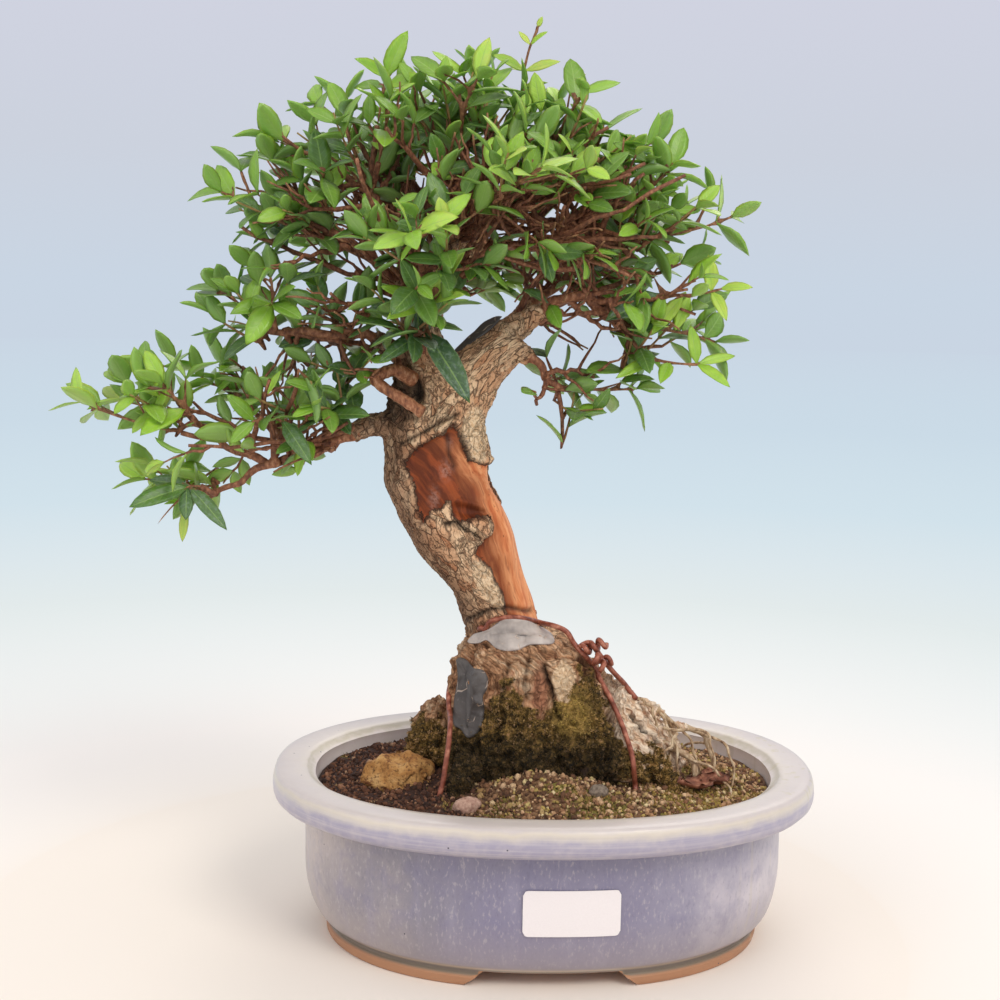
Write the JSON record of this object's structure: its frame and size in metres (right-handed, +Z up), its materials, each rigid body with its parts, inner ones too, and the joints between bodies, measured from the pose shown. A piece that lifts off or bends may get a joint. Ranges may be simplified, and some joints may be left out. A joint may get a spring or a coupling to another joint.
{
  "type": "common myrtle bonsai",
  "caption": "Informal common myrtle bonsai with a leaning bare trunk, a rounded leafy crown and a low side branch, planted in an oval glazed pot with soil, tie wire and wound paste.",
  "frame": {"origin": "middle of the overall box seen from above, on the surface that the pot's feet stand on", "axes": "+Z up, +X to the right of the picture's front side, -Y out of the front, where the paper label is"},
  "size_m": [0.3226, 0.18, 0.38],
  "materials": {
    "glaze": "satin",
    "soil": "matte",
    "bark": "matte",
    "leaf": "satin",
    "wire": "satin",
    "paste": "matte",
    "label": "satin",
    "stone": "matte",
    "pebble": "matte",
    "fallen_leaf": "matte",
    "screen": "satin"
  },
  "bodies": {
    "root": {"drain_screen_left": "screen", "drain_screen_right": "screen", "fallen_leaf_1": "fallen_leaf", "fallen_leaf_2": "fallen_leaf", "label": "label", "paste_fork": "paste", "paste_side": "paste", "paste_top": "paste", "pebble_grey": "pebble", "pebble_pink": "pebble", "pot": "glaze", "shoot_front_low": "leaf", "shoot_left_inner": "leaf", "shoot_low_left_hang": "leaf", "shoot_right_low_tip": "leaf", "shoot_right_tip": "leaf", "shoot_top_left_tip": "leaf", "shoot_top_tip": "leaf", "soil": "soil", "spray_back_1": "leaf", "spray_back_2": "leaf", "spray_back_right_1": "leaf", "spray_back_right_2": "leaf", "spray_back_top_1": "leaf", "spray_back_top_2": "leaf", "spray_droop_1": "leaf", "spray_droop_2": "leaf", "spray_front_1": "leaf", "spray_front_2": "leaf", "spray_front_top_1": "leaf", "spray_front_top_2": "leaf", "spray_inner_left_1": "leaf", "spray_low_left_1": "leaf", "spray_low_left_2": "leaf", "spray_low_left_3": "leaf", "spray_low_left_inner_1": "leaf", "spray_low_left_tail_1": "leaf", "spray_middle_left_1": "leaf", "spray_middle_left_2": "leaf", "spray_right_1": "leaf", "spray_right_2": "leaf", "spray_right_3": "leaf", "spray_right_low_2": "leaf", "spray_right_low_3": "leaf", "spray_top_1": "leaf", "spray_top_2": "leaf", "spray_top_3": "leaf", "spray_top_left_1": "leaf", "spray_top_left_2": "leaf", "spray_top_left_3": "leaf", "spray_top_right_1": "leaf", "spray_top_right_2": "leaf", "spray_top_right_3": "leaf", "spray_upper_left_1": "leaf", "spray_upper_left_2": "leaf", "spray_upper_left_3": "leaf", "stone_ochre": "stone", "tie_wire": "wire", "trunk": "bark", "twist_wire": "wire"}
  },
  "joints": []
}
